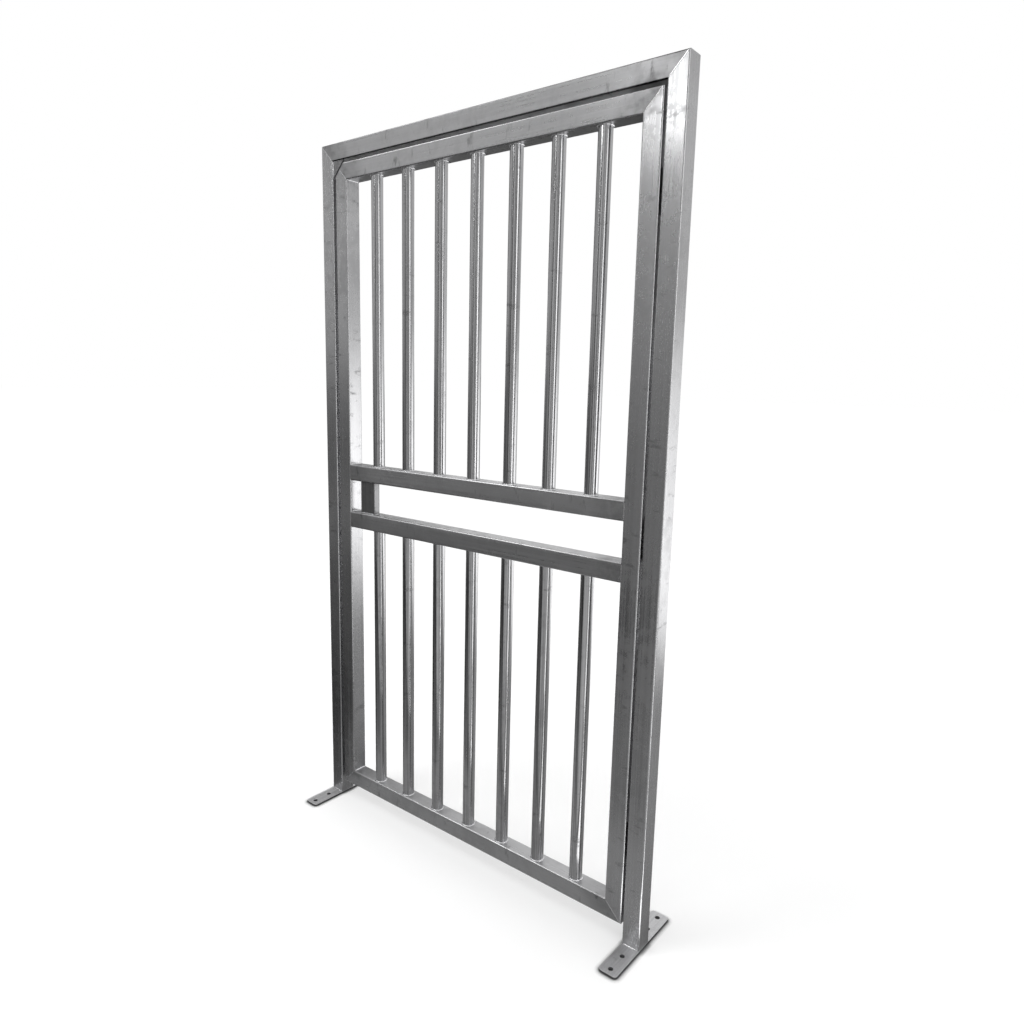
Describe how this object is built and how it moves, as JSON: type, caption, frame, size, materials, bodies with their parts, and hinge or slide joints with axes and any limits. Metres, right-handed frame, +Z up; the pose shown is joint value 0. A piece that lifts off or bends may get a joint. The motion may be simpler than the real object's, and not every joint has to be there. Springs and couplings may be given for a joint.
{
  "type": "turnstile side gate",
  "caption": "Stainless steel side gate for a turnstile lane: square-tube portal frame on bolted foot plates and a barred swing leaf with a middle slot.",
  "frame": {"origin": "centre of the underside of the latch post's foot plate, on the floor", "axes": "+Z up, +X from the latch post to the hinge post, +Y to the back, the side to which the leaf opens"},
  "size_m": [1.21, 0.276, 2.1],
  "materials": {
    "tube_steel": "brushed along the tube, satin",
    "bar_steel": "polished round tube, fine drawn grain",
    "plate_steel": "mill finish, slightly speckled",
    "fitting_steel": "brushed sheet, satin",
    "hinge_steel": "satin turned and cut steel"
  },
  "bodies": {
    "frame": {"latch_post": "tube_steel", "hinge_post": "tube_steel", "header": "tube_steel", "corner_gusset": "fitting_steel", "latch_foot_plate": "plate_steel", "hinge_foot_plate": "plate_steel", "bottom_hinge_post_half": "hinge_steel", "bottom_hinge_pin": "hinge_steel", "middle_hinge_post_half": "hinge_steel", "middle_hinge_pin": "hinge_steel", "top_hinge_post_half": "hinge_steel", "top_hinge_pin": "hinge_steel"},
    "leaf": {"latch_stile": "tube_steel", "hinge_stile": "tube_steel", "top_rail": "tube_steel", "bottom_rail": "tube_steel", "upper_middle_rail": "tube_steel", "lower_middle_rail": "tube_steel", "slot_upright": "fitting_steel", "corner_cover": "fitting_steel", "upper_bar_1": "bar_steel", "upper_bar_2": "bar_steel", "upper_bar_3": "bar_steel", "upper_bar_4": "bar_steel", "upper_bar_5": "bar_steel", "upper_bar_6": "bar_steel", "upper_bar_7": "bar_steel", "lower_bar_1": "bar_steel", "lower_bar_2": "bar_steel", "lower_bar_3": "bar_steel", "lower_bar_4": "bar_steel", "lower_bar_5": "bar_steel", "lower_bar_6": "bar_steel", "lower_bar_7": "bar_steel", "bottom_hinge_leaf_half": "hinge_steel", "middle_hinge_leaf_half": "hinge_steel", "top_hinge_leaf_half": "hinge_steel"}
  },
  "joints": [
    {"name": "leaf_swing", "type": "hinge", "parent": "frame", "child": "leaf", "pos_m": [1.132, 0.032, 1.048], "axis": [0, 0, -1], "range_deg": [0, 90]}
  ]
}
